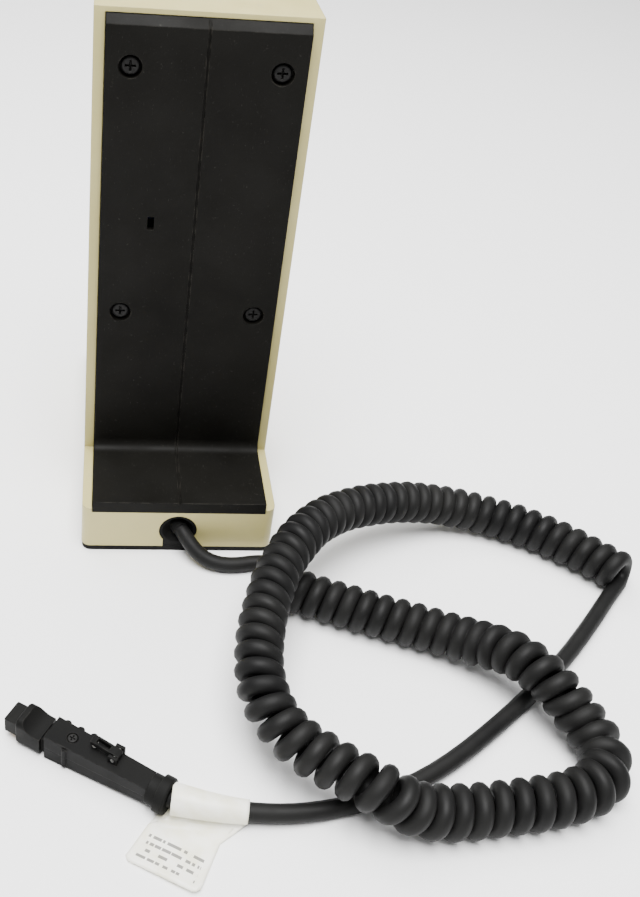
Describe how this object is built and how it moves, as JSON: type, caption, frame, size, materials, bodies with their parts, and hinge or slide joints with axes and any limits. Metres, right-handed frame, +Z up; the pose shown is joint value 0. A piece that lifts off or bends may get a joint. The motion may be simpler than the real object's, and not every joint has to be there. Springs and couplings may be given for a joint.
{
  "type": "desk push-to-talk microphone",
  "caption": "Desk push-to-talk microphone: upright tower on a weighted base, screwed rear cover, sprung talk bar and monitor key, and a free curly cord ending in a latching plug.",
  "frame": {"origin": "on the table, under the middle of the microphone's own box, its cord and plug left out", "axes": "+Z up; -Y towards the talker, where the grille, talk bar and monitor key are; +Y to the rear, where the cord leaves; +X to the talker's left when they face the front"},
  "size_m": [0.2438, 0.2775, 0.204],
  "materials": {
    "cream_housing": "satin, fine moulded texture, slightly yellowed",
    "charcoal_cover": "satin dark moulding, rubbed at the edges",
    "black_plastic": "satin",
    "black_rubber": "matt",
    "cord_jacket": "satin elastomer",
    "screw_steel": "blackened, worn at the recess",
    "bright_steel": "plated",
    "spring_steel": "drawn wire",
    "ballast_iron": "painted casting",
    "cloth": "open weave",
    "board": "solder mask",
    "component": "moulded epoxy",
    "blue_component": "moulded",
    "white_component": "nylon",
    "cartridge_metal": "drawn can",
    "contact_gold": "plated",
    "label": "flexible label, soft creases"
  },
  "bodies": {
    "microphone": {"ballast_screws": "bright_steel", "ballast_weight": "ballast_iron", "base_pad": "black_rubber", "base_plate": "bright_steel", "base_plate_screws": "bright_steel", "cord_clamp": "black_plastic", "cord_clamp_screws": "bright_steel", "cord_curly": "cord_jacket", "cord_grommet": "black_rubber", "cord_lead_base": "cord_jacket", "cord_lead_plug": "cord_jacket", "cord_tag": "label", "front_grille": "charcoal_cover", "grille_cloth": "cloth", "harness_connector": "white_component", "housing": "cream_housing", "inner_lead": "cord_jacket", "mic_boot": "black_rubber", "mic_cartridge": "cartridge_metal", "mic_retainer": "bright_steel", "mic_retainer_screws": "bright_steel", "monitor_spring": "spring_steel", "monitor_switch": "black_plastic", "plug_collar": "black_rubber", "plug_contact_block": "black_plastic", "plug_contacts": "contact_gold", "plug_head": "black_plastic", "plug_latch_pin": "bright_steel", "plug_latch_spring": "spring_steel", "plug_screw": "screw_steel", "plug_shell_base": "black_plastic", "plug_shell_cover": "black_plastic", "preamp_board": "board", "preamp_board_screws": "bright_steel", "preamp_capacitors": "component", "preamp_chip": "component", "preamp_header": "white_component", "ptt_bracket": "bright_steel", "ptt_pivot_pin": "bright_steel", "ptt_spring": "spring_steel", "ptt_switch": "black_plastic", "rear_cover": "charcoal_cover", "rear_cover_screws": "screw_steel", "switch_board": "board", "switch_board_screws": "bright_steel", "trimmer_body": "blue_component"},
    "talk_bar": {"ptt_bar": "charcoal_cover", "ptt_bar_pad": "black_rubber"},
    "talk_plunger": {"ptt_plunger": "white_component"},
    "monitor_key": {"monitor_button": "charcoal_cover"},
    "monitor_pin": {"monitor_plunger": "white_component"},
    "gain_rotor": {"trimmer_rotor": "white_component"},
    "plug_lever": {"plug_latch": "black_plastic"}
  },
  "joints": [
    {"name": "talk_bar_press", "type": "hinge", "parent": "microphone", "child": "talk_bar", "pos_m": [0, -0.027, 0.0135], "axis": [1, 0, 0], "range_deg": [0, 5], "stiffness_Nm_per_rad": 0.5, "springref_deg": -5.16, "deforming": ["ptt_spring"]},
    {"name": "talk_plunger_slide", "type": "slide", "parent": "microphone", "child": "talk_plunger", "axis": [0, 0, -1], "range_m": [0, 0.0018]},
    {"name": "monitor_key_press", "type": "slide", "parent": "microphone", "child": "monitor_key", "axis": [0, 0, -1], "range_m": [0, 0.002], "stiffness_N_per_m": 400, "springref_m": -0.002, "deforming": ["monitor_spring"]},
    {"name": "monitor_pin_slide", "type": "slide", "parent": "microphone", "child": "monitor_pin", "axis": [0, 0, -1], "range_m": [0, 0.002]},
    {"name": "gain_turn", "type": "hinge", "parent": "microphone", "child": "gain_rotor", "pos_m": [0.0159, 0.0218, 0.1282], "axis": [0, 1, 0], "range_deg": [-135, 135]},
    {"name": "plug_lever_press", "type": "hinge", "parent": "microphone", "child": "plug_lever", "pos_m": [0.02425, 0.17004, 0.0116], "axis": [0.515, 0.8572, 0], "range_deg": [0, 6], "stiffness_Nm_per_rad": 0.02, "springref_deg": -5.73, "deforming": ["plug_latch_spring"]}
  ],
  "couplings": [
    {"joint": "talk_plunger_slide", "follows": "talk_bar_press", "m_per_rad": 0.02},
    {"joint": "monitor_pin_slide", "follows": "monitor_key_press", "ratio": 1}
  ]
}
